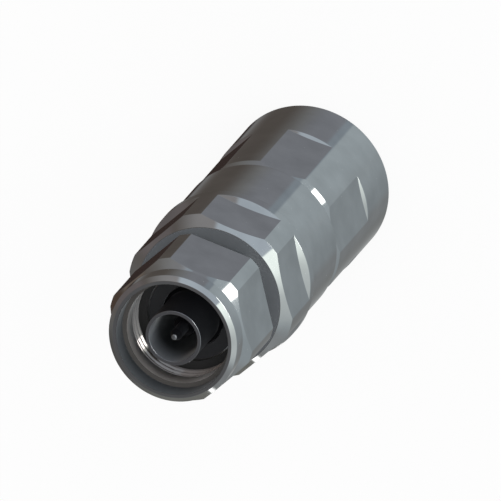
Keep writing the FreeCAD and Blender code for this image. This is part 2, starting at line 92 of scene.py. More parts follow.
def turned(name, section, angles, ease=0.05, solid=False):
    """A piece swept about +Z: section(angle) gives its (radius, height, ease) corners in mm, run
    counter-clockwise. An ease of None is the piece's own, and 0 leaves a smooth point. A solid
    piece starts and ends on the axis; any other has a closed section."""
    columns = [eased(section(angle), ease, solid) for angle in angles]
    count, rows = len(columns), len(columns[0])
    corners, normals, rings = [], [], []
    axis = {}
    for index, (angle, column) in enumerate(zip(angles, columns)):
        after, before = columns[(index + 1) % count], columns[index - 1]
        spread = math.radians((angles[(index + 1) % count] - angles[index - 1]) % 360)
        out = Vector((math.cos(math.radians(angle)), math.sin(math.radians(angle)), 0))
        along = Vector((-out.y, out.x, 0))
        ring = []
        for row, (radius, height, (step_out, step_up)) in enumerate(column):
            near = column[row - 1]
            if ring and math.dist(near[:2], (radius, height)) < touching:
                ring.append(ring[-1])
                continue
            if radius < touching and row in axis:
                ring.append(axis[row])
                continue
            grow = (after[row][0] - before[row][0]) / spread
            climb = (after[row][1] - before[row][1]) / spread
            twist = (climb * step_out - grow * step_up) / max(radius, 0.001)
            normals.append((out * step_up + along * twist - Vector((0, 0, step_out))).normalized())
            corners.append((out * radius + Vector((0, 0, height))) * mm)
            ring.append(len(corners) - 1)
            if radius < touching:
                axis[row] = ring[-1]
                normals[-1] = Vector((0, 0, -step_out))
        rings.append(ring)
    faces = []
    for index, ring in enumerate(rings):
        following = rings[(index + 1) % count]
        for row in range(rows - 1 if solid else rows):
            above = (row + 1) % rows
            loop = []
            for corner in (ring[row], following[row], following[above], ring[above]):
                if corner not in loop:
                    loop.append(corner)
            if len(loop) > 2:
                faces.append(loop)
    mesh = bpy.data.meshes.new(name)
    mesh.from_pydata(corners, [], faces)
    mesh.shade_smooth()
    mesh.normals_split_custom_set_from_vertices(normals)
    piece = bpy.data.objects.new(name, mesh)
    bpy.context.scene.collection.objects.link(piece)
    return piece


def even_turn(count):
    """Angles of one turn, evenly spaced."""
    return [360 * step / count for step in range(count)]


def flatted_turn(radius, apothem, count=240):
    """Angles of one turn, crowded where each of six flats meets the round."""
    half = math.degrees(math.acos(apothem / radius))
    edges = [60 * flat + side * half for flat in range(6) for side in (-1, 1)]
    crowded = [edge + nudge for edge in edges for nudge in (-0.8, -0.3, -0.15, 0.0, 0.15, 0.3, 0.8)]
    even = [angle for angle in even_turn(count)
            if all(abs((angle - edge + 180) % 360 - 180) > 1.2 for edge in edges)]
    return sorted(angle % 360 for angle in even + crowded)


def flatted(radius, apothem, angle, blend=0.004):
    """Distance from the axis of a round bar with six flats, its long edges just broken."""
    off = (angle + 30) % 60 - 30
    flat = apothem / math.cos(math.radians(off))
    return (radius + flat) / 2 - math.sqrt(((radius - flat) / 2) ** 2 + blend ** 2)


def thread_ridge(height, angle, pitch, low, high, run_out=0.7):
    """Share of the full thread depth at a height and angle: a flat-topped ridge, fading at both ends."""
    turn = (height / pitch - angle / 360) % 1
    ridge = 1 - min(1, max(0, (abs(turn - 0.5) - 1 / 16) / (3 / 8)))
    fade = min(1, max(0, (height - low) / run_out), max(0, (high - height) / run_out))
    return ridge * fade


def thread_heights(low, high, pitch, steps=16):
    """Heights that follow a thread closely, the same number of steps to each pitch."""
    count = round((high - low) / pitch * steps)
    return [low + (high - low) * step / count for step in range(count + 1)]


def clamp_nut_section(angle):
    flat = flatted(clamp_radius, clamp_apothem, angle)
    lead = clamp_radius - clamp_lead_width
    lead_drop = clamp_lead_length * (flat - lead) / clamp_lead_width
    half_turn = angle + 180
    thread = [(clamp_root - clamp_thread_depth
               * thread_ridge(height, half_turn, clamp_pitch, chamber_roof, clamp_mouth_base), height, 0)
              for height in thread_heights(chamber_roof, clamp_mouth_base, clamp_pitch)]
    return [
        (cable_bore, entry_chamfer, None), (cable_bore + entry_chamfer, 0, None),
        (clamp_radius - rear_chamfer, 0, None), (clamp_radius, rear_chamfer, None),
        (clamp_radius, clamp_shoulder, 0.08),
        (flat, clamp_shoulder + (clamp_radius - flat) / shoulder_slope, 0.03),
        (flat, joint_height - lead_drop, 0.05), (lead, joint_height, 0.06),
        (clamp_mouth, joint_height, 0.1), (clamp_mouth, clamp_mouth_base, 0.05),
        *thread[::-1],
        (chamber_radius, chamber_roof, 0.05), (chamber_radius, chamber_floor, 0.1),
        (cable_bore, chamber_floor, None),
    ]


def plated(name, colour, roughness, streak, metallic=1.0, cloud=0.04, shine=0.5, darker=None):
    """Turned and plated metal: fine tool rings in the bump, faint clouds in colour and gloss.
    darker paints shade, the colour dimming downwards: it gives a low height, a high one at which the colour
    is full, and its share at the low one."""
    material = bpy.data.materials.new(name)
    material.use_nodes = True
    nodes, links = material.node_tree.nodes, material.node_tree.links
    shader = nodes["Principled BSDF"]
    shader.inputs["Metallic"].default_value = metallic
    shader.inputs["Specular Tint"].default_value = (0.6, 0.6, 0.6, 1)
    shader.inputs["Specular IOR Level"].default_value = shine
    place = nodes.new("ShaderNodeTexCoord")
    split = nodes.new("ShaderNodeSeparateXYZ")
    links.new(place.outputs["Object"], split.inputs[0])
    level = nodes.new("ShaderNodeCombineXYZ")
    links.new(split.outputs["X"], level.inputs["X"])
    links.new(split.outputs["Y"], level.inputs["Y"])
    reach = nodes.new("ShaderNodeVectorMath")
    reach.operation = "LENGTH"
    links.new(level.outputs[0], reach.inputs[0])
    ring = nodes.new("ShaderNodeCombineXYZ")
    links.new(reach.outputs["Value"], ring.inputs["X"])
    links.new(split.outputs["Z"], ring.inputs["Y"])
    tool_marks = nodes.new("ShaderNodeTexNoise")
    tool_marks.noise_dimensions = "2D"
    tool_marks.inputs["Scale"].default_value = 7000
    tool_marks.inputs["Detail"].default_value = 3
    links.new(ring.outputs[0], tool_marks.inputs["Vector"])
    bump = nodes.new("ShaderNodeBump")
    bump.inputs["Strength"].default_value = streak
    bump.inputs["Distance"].default_value = 0.002 * mm
    links.new(tool_marks.outputs["Fac"], bump.inputs["Height"])
    links.new(bump.outputs["Normal"], shader.inputs["Normal"])
    clouds = nodes.new("ShaderNodeTexNoise")
    clouds.inputs["Scale"].default_value = 260
    clouds.inputs["Detail"].default_value = 4
    links.new(place.outputs["Object"], clouds.inputs["Vector"])
    tone = nodes.new("ShaderNodeValToRGB")
    tone.color_ramp.elements[0].position = 0.3
    tone.color_ramp.elements[1].position = 0.7
    tone.color_ramp.elements[0].color = (*[part * (1 - cloud) for part in colour], 1)
    tone.color_ramp.elements[1].color = (*[part * (1 + cloud) for part in colour], 1)
    links.new(clouds.outputs["Fac"], tone.inputs["Fac"])
    links.new(tone.outputs["Color"], shader.inputs["Base Color"])
    # Painted shade: the colour dims towards the low height.
    if darker:
        depth = nodes.new("ShaderNodeMapRange")
        depth.inputs["From Min"].default_value = darker[0] * mm
        depth.inputs["From Max"].default_value = darker[1] * mm
        depth.inputs["To Min"].default_value = darker[2]
        links.new(split.outputs["Z"], depth.inputs["Value"])
        shaded = nodes.new("ShaderNodeVectorMath")
        shaded.operation = "SCALE"
        links.new(tone.outputs["Color"], shaded.inputs[0])
        links.new(depth.outputs[0], shaded.inputs["Scale"])
        links.new(shaded.outputs[0], shader.inputs["Base Color"])
    gloss = nodes.new("ShaderNodeMapRange")
    gloss.inputs["To Min"].default_value = roughness * 0.8
    gloss.inputs["To Max"].default_value = roughness * 1.2
    links.new(clouds.outputs["Fac"], gloss.inputs["Value"])
    links.new(gloss.outputs["Result"], shader.inputs["Roughness"])
    return material


def fitted(piece, node, body, material, mirrored=True):
    """The piece stands for its CAD node, moves with that node's body and wears its finish. One that
    isn't mirrored stays out of the reflections, so that bright metal shows the tent and not itself."""
    piece.data.materials.clear()
    piece.data.materials.append(material)
    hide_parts(node)
    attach(piece, body)
    piece.visible_glossy = mirrored


def finished_where(piece, material, inside):
    """The faces that pass the test take another finish: a duller plate where the polishing wheel can't
    reach, and in the deep hollows a darker one that paints their shade.
    """
    piece.data.materials.append(material)
    finish = len(piece.data.materials) - 1
    for face in piece.data.polygons:
        radius = math.hypot(face.center.x, face.center.y) / mm
        if inside(radius, face.center.z / mm):
            face.material_index = finish


dark_nickel = plated("dark_nickel_plate", (0.345, 0.35, 0.348), 0.07, 0.12, cloud=0.08)
dull_nickel = plated("unpolished_nickel_plate", (0.20, 0.215, 0.23), 0.34, 0.5, metallic=0.5)
clamp_nut = turned("clamp_nut_shell", clamp_nut_section, flatted_turn(clamp_radius, clamp_apothem))
fitted(clamp_nut, "clamp_nut", "clamp_nut", dark_nickel, mirrored=False)
finished_where(clamp_nut, dull_nickel, lambda radius, height: radius < clamp_mouth + hair)

# Slip washer: a flat brass ring on the floor of the chamber. It lets the nut turn against
# the gasket without dragging it round.
loose_gap = 0.1
ring_wall = 1.85
ring_outer = chamber_radius - loose_gap
ring_inner = ring_outer - ring_wall
washer_top = 4.0
turned_brass = plated("turned_brass", (0.66, 0.46, 0.20), 0.24, 0.6)


def washer_section(angle):
    return [(ring_inner, chamber_floor, None), (ring_outer, chamber_floor, None),
            (ring_outer, washer_top, None), (ring_inner, washer_top, None)]


slip_washer = turned("slip_washer_ring", washer_section, even_turn(144), ease=0.06)
fitted(slip_washer, "slip_washer", "gland", turned_brass, mirrored=False)

# Cable gasket: a black silicone sleeve, moulded with four ribs inside and out. Squeezed
# between washer and follower it swells onto the cable's jacket.
gasket_bore = 6.9
gasket_top = 9.6
rib_count = 4
rib_depth = 0.5


def moulded_silicone(name):
    """Black silicone: matt, a little greasy, with the fine grain of the mould."""
    material = bpy.data.materials.new(name)
    material.use_nodes = True
    nodes, links = material.node_tree.nodes, material.node_tree.links
    shader = nodes["Principled BSDF"]
    shader.inputs["Specular IOR Level"].default_value = 0.35
    place = nodes.new("ShaderNodeTexCoord")
    grain = nodes.new("ShaderNodeTexNoise")
    grain.inputs["Scale"].default_value = 5000
    grain.inputs["Detail"].default_value = 4
    links.new(place.outputs["Object"], grain.inputs["Vector"])
    bump = nodes.new("ShaderNodeBump")
    bump.inputs["Strength"].default_value = 0.35
    bump.inputs["Distance"].default_value = 0.01 * mm
    links.new(grain.outputs["Fac"], bump.inputs["Height"])
    links.new(bump.outputs["Normal"], shader.inputs["Normal"])
    bloom = nodes.new("ShaderNodeTexNoise")
    bloom.inputs["Scale"].default_value = 500
    links.new(place.outputs["Object"], bloom.inputs["Vector"])
    tone = nodes.new("ShaderNodeValToRGB")
    tone.color_ramp.elements[0].color = (0.012, 0.012, 0.013, 1)
    tone.color_ramp.elements[1].color = (0.026, 0.026, 0.028, 1)
    links.new(bloom.outputs["Fac"], tone.inputs["Fac"])
    links.new(tone.outputs["Color"], shader.inputs["Base Color"])
    gloss = nodes.new("ShaderNodeMapRange")
    gloss.inputs["To Min"].default_value = 0.5
    gloss.inputs["To Max"].default_value = 0.7
    links.new(bloom.outputs["Fac"], gloss.inputs["Value"])
    links.new(gloss.outputs["Result"], shader.inputs["Roughness"])
    return material


black_silicone = moulded_silicone("black_silicone")


def cable_gasket_section(angle):
    pitch = (gasket_top - washer_top) / rib_count
    outside, inside = [], []
    for rib in range(rib_count):
        crest = washer_top + pitch * rib
        outside += [(ring_outer, crest, 0.12), (ring_outer, crest + pitch / 2, 0.2),
                    (ring_outer - rib_depth, crest + pitch * 3 / 4, 0.2)]
        inside += [(gasket_bore, crest, 0.12), (gasket_bore, crest + pitch / 2, 0.2),
                   (gasket_bore + rib_depth, crest + pitch * 3 / 4, 0.2)]
    return outside + [(ring_outer, gasket_top, 0.12), (gasket_bore, gasket_top, 0.12)] + inside[::-1]


cable_gasket = turned("cable_gasket_sleeve", cable_gasket_section, even_turn(144))
fitted(cable_gasket, "cable_gasket", "gland", black_silicone)

# Gasket follower: a plain brass ring on top of the gasket. It carries the push of the collet
# evenly round the rubber when the plug is screwed together.
collet_base = 11.6
follower_chamfer = 0.5


def follower_section(angle):
    return [(ring_inner, gasket_top, None), (ring_outer, gasket_top, None),
            (ring_outer, collet_base, None), (ring_inner + follower_chamfer, collet_base, None),
            (ring_inner, collet_base - follower_chamfer, None)]


gasket_follower = turned("gasket_follower_ring", follower_section, even_turn(144), ease=0.06)
fitted(gasket_follower, "gasket_follower", "gland", turned_brass, mirrored=False)

# Clamping collet: a brass ring sawn into six fingers, whose ridge drops into a valley of the
# cable's corrugated outer conductor. A split wire ring in its groove keeps the fingers closed.
collet_flange_top = 13.4
collet_nose = 7.2
collet_bore = 6.35
collet_ridge = 6.05
ridge_length = 0.6
seat_foot = 16.2
seat_top = 18.5
seat_inner = 5.8
seat_cone = 7.3
seat_cone_length = 1.3
seat_slope = seat_cone_length / (seat_cone - seat_inner)
clamp_gap = 0.45
collet_spring_height = 14.6
spring_wire = 0.5
spring_groove = 0.3
wire_split = 20
press_gap = 0.02
collet_slots = 6
collet_slot = 0.8
collet_slot_base = 12.5


def collet_section(angle):
    nose_top = seat_foot + (seat_cone - collet_nose) * seat_slope - clamp_gap
    ridge_top = seat_foot + (seat_cone - collet_ridge) * seat_slope - clamp_gap
    ridge_base = ridge_top - ridge_length
    groove = collet_nose - spring_wire / 2
    return [
        (collet_bore, collet_base, None), (ring_outer, collet_base, None),
        (ring_outer, collet_flange_top, None), (collet_nose, collet_flange_top, None),
        (collet_nose, collet_spring_height - spring_groove, 0.03),
        (groove, collet_spring_height - spring_groove, 0.03),
        (groove, collet_spring_height + spring_groove, 0.03),
        (collet_nose, collet_spring_height + spring_groove, 0.03),
        (collet_nose, nose_top, None), (collet_ridge, ridge_top, None),
        (collet_ridge, ridge_base, None), (collet_bore, ridge_base - (collet_bore - collet_ridge), None),
    ]


def sawn(piece, width, bottom, top, slots):
    """Cuts radial slots right through a turned piece, each pair by one long blade."""
    reach = 15.0
    for cut in range(slots // 2):
        blade = bmesh.new()
        bmesh.ops.create_cube(blade, size=1)
        bmesh.ops.scale(blade, vec=(2 * reach * mm, width * mm, (top - bottom) * mm), verts=blade.verts)
        bmesh.ops.rotate(blade, matrix=Matrix.Rotation(2 * math.pi * cut / slots, 3, "Z"), verts=blade.verts)
        bmesh.ops.translate(blade, vec=(0, 0, (top + bottom) / 2 * mm), verts=blade.verts)
        mesh = bpy.data.meshes.new("blade")
        blade.to_mesh(mesh)
        blade.free()
        tool = bpy.data.objects.new("blade", mesh)
        bpy.context.scene.collection.objects.link(tool)
        slot = piece.modifiers.new("slot", "BOOLEAN")
        slot.operation = "DIFFERENCE"
        slot.solver = "EXACT"
        slot.object = tool
        shape = bpy.data.meshes.new_from_object(
            piece.evaluated_get(bpy.context.evaluated_depsgraph_get()))
        piece.modifiers.remove(slot)
        piece.data = shape
        bpy.data.objects.remove(tool)
    if "custom_normal" in piece.data.attributes:
        piece.data.attributes.remove(piece.data.attributes["custom_normal"])
    piece.data.set_sharp_from_angle(angle=math.radians(25))


def wire_ring(name, mean, wire, height, split=0.0, turns=144, sides=20):
    """Round wire bent to a ring about +Z, open over the split angle and closed at its cut ends."""
    mesh = bmesh.new()
    steps = turns if split == 0 else turns + 1
    rings = []
    for step in range(steps):
        angle = math.radians((360 - split) * step / turns)
        ring = []
        for side in range(sides):
            around = 2 * math.pi * side / sides
            radius = mean + wire / 2 * math.cos(around)
            ring.append(mesh.verts.new((radius * math.cos(angle) * mm, radius * math.sin(angle) * mm,
                                        (height + wire / 2 * math.sin(around)) * mm)))
        rings.append(ring)
    for step in range(turns):
        here, there = rings[step], rings[(step + 1) % steps]
        for side in range(sides):
            up = (side + 1) % sides
            mesh.faces.new((here[side], there[side], there[up], here[up]))
    if split:
        for end in (rings[0][::-1], rings[-1]):
            mesh.faces.new(end)
    bmesh.ops.recalc_face_normals(mesh, faces=mesh.faces)
    data = bpy.data.meshes.new(name)
    mesh.to_mesh(data)
    mesh.free()
    data.shade_smooth()
    data.set_sharp_from_angle(angle=math.radians(50))
    ring = bpy.data.objects.new(name, data)
    bpy.context.scene.collection.objects.link(ring)
    return ring


clamping_collet = turned("clamping_collet_fingers", collet_section, even_turn(96), ease=0.05)
sawn(clamping_collet, collet_slot, collet_slot_base, seat_top, collet_slots)
fitted(clamping_collet, "clamping_collet", "gland", turned_brass, mirrored=False)
drawn_wire = plated("drawn_spring_wire", (0.52, 0.51, 0.50), 0.22, 0.3)
collet_spring = wire_ring("collet_spring_wire", collet_nose + press_gap, spring_wire,
                          collet_spring_height, wire_split)
fitted(collet_spring, "collet_spring", "gland", drawn_wire, mirrored=False)

# Clamping seat: a brass ring pressed into the body. Its cone backs the flared end of the
# cable's outer conductor when the collet pushes it home.
seat_bore = 7.62


def seat_section(angle):
    outer = seat_bore - press_gap
    return [(seat_inner, seat_foot + seat_cone_length, None), (seat_cone, seat_foot, None),
            (outer, seat_foot, None), (outer, seat_top, None), (seat_inner, seat_top, None)]


clamping_seat = turned("clamping_seat_ring", seat_section, even_turn(144))
fitted(clamping_seat, "clamping_seat", "front_body", turned_brass, mirrored=False)

# Front body: turned in one from brass bar and plated like the clamp nut. From the rear it has the
# threaded spigot and O-ring groove, the barrel, the ring with six wrench flats milled in, and the
# slim neck that the coupling nut turns on.
body_barrel = 11.5
body_ring = 12.0
body_apothem = 11.0
spigot_root = 9.4
spigot_thread = 0.5
spigot_base = 15.7
spigot_chamfer = 0.3
spigot_lead = 0.35
spigot_run_out = 0.1
thread_lead = 0.05
groove_base = 22.1
groove_floor = 8.77
barrel_base = 23.6
barrel_chamfer = 0.5
ring_base = 35.9
body_shoulder = 37.5
body_face = 46.2
body_lead_length = 1.1
body_face_radius = 10.4
polished_edge = 0.1
neck_radius = 6.55
neck_end = 52.25
neck_chamfer = 0.2
rear_bore = 6.3
rear_bore_end = 36.0
middle_bore = 4.3
middle_bore_end = 43.2
front_bore = 5.0
catch_height = 50.2
catch_half = 0.55
catch_floor = 6.025


def front_body_section(angle):
    flat = flatted(body_ring, body_apothem, angle)
    lead_slope = body_lead_length / (body_ring - body_face_radius)
    thread_low, thread_high = spigot_base + spigot_lead, groove_base - spigot_run_out
    thread = [(spigot_root + spigot_thread
               * thread_ridge(height, angle, clamp_pitch, thread_low, thread_high), height, 0)
              for height in thread_heights(thread_low, thread_high, clamp_pitch)]
    return [
        (seat_bore, spigot_base, None), (spigot_root - spigot_chamfer, spigot_base, None),
        (spigot_root, thread_low - thread_lead, 0), *thread,
        (spigot_root, groove_base, 0.05),
        (groove_floor, groove_base, None), (groove_floor, barrel_base, None),
        (body_barrel - barrel_chamfer, barrel_base, 0.06), (body_barrel, barrel_base + barrel_chamfer, 0.08),
        (body_barrel, ring_base, 0.08), (body_ring, ring_base, 0.1),
        (body_ring, body_shoulder, 0.08),
        (flat, body_shoulder + (body_ring - flat) / shoulder_slope, 0.03),
        (flat, body_face - (flat - body_face_radius) * lead_slope, 0.015),
        (body_face_radius, body_face, 0.06),
        (neck_radius, body_face, None),
        (neck_radius, catch_height - catch_half, None), (catch_floor, catch_height - catch_half, None),
        (catch_floor, catch_height + catch_half, None), (neck_radius, catch_height + catch_half, None),
        (neck_radius, neck_end - neck_chamfer, None), (neck_radius - neck_chamfer, neck_end, None),
        (front_bore, neck_end, None), (front_bore, middle_bore_end, None),
        (middle_bore, middle_bore_end, None), (middle_bore, rear_bore_end, None),
        (rear_bore, rear_bore_end, None), (rear_bore, seat_top, None), (seat_bore, seat_top, None),
    ]


front_body = turned("front_body_shell", front_body_section, flatted_turn(body_ring, body_apothem))
fitted(front_body, "front_body", "front_body", dark_nickel, mirrored=False)
finished_where(front_body, dull_nickel, lambda radius, height:
               radius < spigot_root + spigot_thread + hair and height < barrel_base
               or radius < body_face_radius - polished_edge)

# Body O-ring: black silicone cord ring in the groove behind the barrel. It seals the body in
# the mouth of the clamp nut.
o_ring_wire = 1.2
o_ring_gap = 0.08
o_ring_mean = clamp_mouth - o_ring_gap - o_ring_wire / 2
o_ring_height = 22.8
body_o_ring = wire_ring("body_o_ring_cord", o_ring_mean, o_ring_wire, o_ring_height, sides=28)
fitted(body_o_ring, "body_o_ring", "front_body", black_silicone)

# Basket support: a white plastic ring with a funnel, seated in the rear bore. It centres the
# slotted socket while the cable goes in.
basket_radius = 2.7
basket_base = 19.6
basket_top = 31.5
support_base = 22.6
support_top = 25.0
support_funnel = 1.6
running_gap = 0.05


def turned_ptfe(name):
    """White PTFE: waxy and slightly see-through, with the faint rings of the lathe tool."""
    material = bpy.data.materials.new(name)
    material.use_nodes = True
    nodes, links = material.node_tree.nodes, material.node_tree.links
    shader = nodes["Principled BSDF"]
    shader.inputs["Subsurface Weight"].default_value = 0.25
    shader.inputs["Subsurface Radius"].default_value = (1.0, 0.95, 0.9)
    shader.inputs["Subsurface Scale"].default_value = 0.6 * mm
    place = nodes.new("ShaderNodeTexCoord")
    rings = nodes.new("ShaderNodeTexWave")
    rings.wave_type = "RINGS"
    rings.rings_direction = "Z"
    rings.inputs["Scale"].default_value = 1500
    rings.inputs["Distortion"].default_value = 0.4
    links.new(place.outputs["Object"], rings.inputs["Vector"])
    bump = nodes.new("ShaderNodeBump")
    bump.inputs["Strength"].default_value = 0.2
    bump.inputs["Distance"].default_value = 0.01 * mm
    links.new(rings.outputs["Fac"], bump.inputs["Height"])
    links.new(bump.outputs["Normal"], shader.inputs["Normal"])
    wax = nodes.new("ShaderNodeTexNoise")
    wax.inputs["Scale"].default_value = 400
    links.new(place.outputs["Object"], wax.inputs["Vector"])
    tone = nodes.new("ShaderNodeValToRGB")
    tone.color_ramp.elements[0].color = (0.78, 0.77, 0.74, 1)
    tone.color_ramp.elements[1].color = (0.86, 0.86, 0.84, 1)
    links.new(wax.outputs["Fac"], tone.inputs["Fac"])
    links.new(tone.outputs["Color"], shader.inputs["Base Color"])
    gloss = nodes.new("ShaderNodeMapRange")
    gloss.inputs["To Min"].default_value = 0.36
    gloss.inputs["To Max"].default_value = 0.5
    links.new(wax.outputs["Fac"], gloss.inputs["Value"])
    links.new(gloss.outputs["Result"], shader.inputs["Roughness"])
    return material


white_ptfe = turned_ptfe("white_ptfe")


def support_section(angle):
    inner, outer = basket_radius + running_gap, rear_bore - press_gap
    return [(inner, (support_base + support_top) / 2, None), (inner + support_funnel, support_base, None),
            (outer, support_base, None), (outer, support_top, None), (inner, support_top, None)]


basket_support = turned("basket_support_ring", support_section, even_turn(128))
fitted(basket_support, "basket_support", "front_body", white_ptfe)

# Contact basket: a silver-plated brass socket, drilled from below and sawn into four springy
# fingers that grip the cable's inner conductor. A split wire ring helps them close.
basket_bore = 1.8
basket_bore_top = 28.0
basket_hole = 1.12
basket_web_top = 28.6
basket_chamfer = 0.3
basket_slots = 4
basket_slot = 0.5
basket_slot_top = 27.1
blade_overrun = 1.0
basket_spring_height = 20.6


def basket_section(angle):
    groove = basket_radius - spring_groove
    low, high = basket_spring_height - spring_groove, basket_spring_height + spring_groove
    return [
        (0, basket_bore_top, 0), (basket_bore, basket_bore_top, None),
        (basket_bore, basket_base + basket_chamfer, None), (basket_bore + basket_chamfer, basket_base, None),
        (basket_radius, basket_base, None), (basket_radius, low, 0.03), (groove, low, 0.03),
        (groove, high, 0.03), (basket_radius, high, 0.03), (basket_radius, basket_top, None),
        (basket_hole, basket_top, None), (basket_hole, basket_web_top, None), (0, basket_web_top, 0),
    ]


grey_silver = plated("grey_silver_plate", (0.27, 0.272, 0.28), 0.12, 0.3)
# Painted shade: a near-black matt silver for the pin and sleeve where they lie deep in the plug.
painted_shade_silver = plated("painted_shade_silver_plate", (0.005, 0.005, 0.006), 0.5, 0.3, metallic=0.0, shine=0.02)
# A rougher silver, a little darker than the plating as painted shade, for the pin's nose.
rough_silver_painted_shade = plated("rough_silver_painted_shade_plate", (0.21, 0.21, 0.215), 0.45, 0.3)
contact_basket = turned("contact_basket_socket", basket_section, even_turn(96), ease=0.04, solid=True)
sawn(contact_basket, basket_slot, basket_base - blade_overrun, basket_slot_top, basket_slots)
fitted(contact_basket, "contact_basket", "front_body", grey_silver)
basket_spring = wire_ring("basket_spring_wire", basket_radius + press_gap, spring_wire,
                          basket_spring_height, wire_split, turns=96)
fitted(basket_spring, "basket_spring", "front_body", drawn_wire)

# Insulator bushing: a brass bush pressed into the rear bore behind the rear bead, chamfered
# where the cable comes in. It holds the bead against the bore's step.
bushing_base = 28.5
bushing_inner = 4.7
bushing_chamfer = 0.5


def bushing_section(angle):
    outer = rear_bore - press_gap
    return [(bushing_inner + bushing_chamfer, bushing_base, None), (outer, bushing_base, None),
            (outer, basket_top, None), (bushing_inner, basket_top, None),
            (bushing_inner, bushing_base + bushing_chamfer, None)]


insulator_bushing = turned("insulator_bushing_ring", bushing_section, even_turn(128))
fitted(insulator_bushing, "insulator_bushing", "front_body", turned_brass)

# Insulator beads: two white PTFE discs that carry the centre pin in the body, each with a
# ring-shaped relief turned into both faces to match the line.
pin_rear = 2.0
pin_stem = 1.52
sleeve_base = 47.7
relief_width = 1.0
relief_depth = 0.8


def bead(name, inner, outer, bottom, top):
    middle = (inner + outer) / 2
    near, far = middle - relief_width / 2, middle + relief_width / 2

    def bead_section(angle):
        return [(inner, bottom, None), (near, bottom, None), (near, bottom + relief_depth, None),
                (far, bottom + relief_depth, None), (far, bottom, None), (outer, bottom, None),
                (outer, top, None), (far, top, None), (far, top - relief_depth, None),
                (near, top - relief_depth, None), (near, top, None), (inner, top, None)]

    return turned(name, bead_section, even_turn(128), ease=0.05)


rear_insulator = bead("rear_insulator_bead", pin_rear + press_gap, rear_bore - press_gap,
                      basket_top, rear_bore_end)
fitted(rear_insulator, "rear_insulator", "front_body", white_ptfe)
front_insulator = bead("front_insulator_bead", pin_stem + press_gap, front_bore - press_gap,
                       middle_bore_end, sleeve_base)
fitted(front_insulator, "front_insulator", "front_body", white_ptfe)

# Centre pin: turned from brass and plated silver grey, with a tapered tip that enters the
# jack's centre contact, a coned shoulder behind it, and a spigot pressed in the basket.
pin_tip = 0.825
pin_end = 62.0
pin_taper_width = 0.475
pin_taper_length = 1.2
pin_shoulder = 56.99
pin_spigot = 1.1
pin_base = 28.7
pin_nose = 0.14


def centre_pin_section(angle):
    return [
        (0, pin_base, 0), (pin_spigot, pin_base, None), (pin_spigot, basket_top, None),
        (pin_rear, basket_top, None), (pin_rear, middle_bore_end, None),
        (pin_stem, middle_bore_end, None), (pin_stem, pin_shoulder, 0.08),
        (pin_tip, pin_shoulder + pin_stem - pin_tip, 0.04),
        (pin_tip, pin_end - pin_taper_length, 0.08),
        (pin_tip - pin_taper_width, pin_end, 0.15), (0, pin_end, 0),
    ]


centre_pin = turned("centre_pin_turning", centre_pin_section, even_turn(96), ease=0.05, solid=True)
# Painted shade: the nose is a dimmer, rougher silver, and the pin behind it near black, as it lies deep in
# the sleeve.
fitted(centre_pin, "centre_pin", "front_body", rough_silver_painted_shade)
finished_where(centre_pin, painted_shade_silver, lambda radius, height:
               middle_bore_end < height < pin_end - pin_nose)

# Outer contact: the plain sleeve that meets the jack's springs, with a shoulder at its root.
# It is turned from brass, plated silver grey and pressed into the body by its flange. Its
# rim keeps the plain plating; its walls are painted dark as shade, the inner one darker with depth.
sleeve_outer = 4.0
sleeve_inner = 3.5
sleeve_end = 62.25
sleeve_shoulder = 4.4
shoulder_length = 1.1
bright_rim = 0.2
inner_edge = 0.05
shade_depth = 4.5


def outer_contact_section(angle):
    flange = front_bore - press_gap
    shoulder_top = neck_end + shoulder_length
    return [
        (sleeve_inner, sleeve_base, None), (flange, sleeve_base, None), (flange, neck_end, None),
        (sleeve_shoulder, neck_end, None), (sleeve_shoulder, shoulder_top, None),
        (sleeve_outer, shoulder_top + sleeve_shoulder - sleeve_outer, None),
        (sleeve_outer, sleeve_end, 0.06),
        (sleeve_inner, sleeve_end, 0.06),
    ]


outer_contact = turned("outer_contact_sleeve", outer_contact_section, even_turn(192), ease=0.04)
fitted(outer_contact, "outer_contact", "front_body", grey_silver, mirrored=False)
# Painted shade: the inner wall is a matt dark grey that darkens further down into the sleeve.
matt_silver_painted_shade = plated("matt_silver_painted_shade_plate", (0.135, 0.145, 0.16), 0.35, 0.3, metallic=0.0, shine=0.3,
                     darker=(sleeve_end - shade_depth, sleeve_end, 0.08))
# Painted shade: below its rim the sleeve is near black outside, and its inner wall takes the darkening grey.
finished_where(outer_contact, painted_shade_silver, lambda radius, height: height < sleeve_end - bright_rim)
finished_where(outer_contact, matt_silver_painted_shade, lambda radius, height:
               radius < sleeve_inner + inner_edge and height < sleeve_end - inner_edge)

# Interface gasket: a flat black silicone ring that lies on the end of the neck, round the
# sleeve. The rim of the jack presses on it.
gasket_inset = 0.15
gasket_thickness = 1.0


def interface_gasket_section(angle):
    inner, outer = sleeve_shoulder + loose_gap, neck_radius - gasket_inset
    top = neck_end + gasket_thickness
    return [(inner, neck_end, None), (outer, neck_end, None), (outer, top, None), (inner, top, None)]


interface_gasket = turned("interface_gasket_ring", interface_gasket_section, even_turn(144), ease=0.08)
fitted(interface_gasket, "interface_gasket", "front_body", black_silicone)

# Retaining ring: a split ring of spring wire, half in the neck's groove and half in the
# nut's. It lets the coupling nut turn but not come off.
coupling_bore = 6.6
catch_wire = 1.0
nut_retaining_ring = wire_ring("nut_retaining_wire", (neck_radius + coupling_bore) / 2, catch_wire,
                               catch_height, wire_split)
fitted(nut_retaining_ring, "nut_retaining_ring", "front_body", drawn_wire)

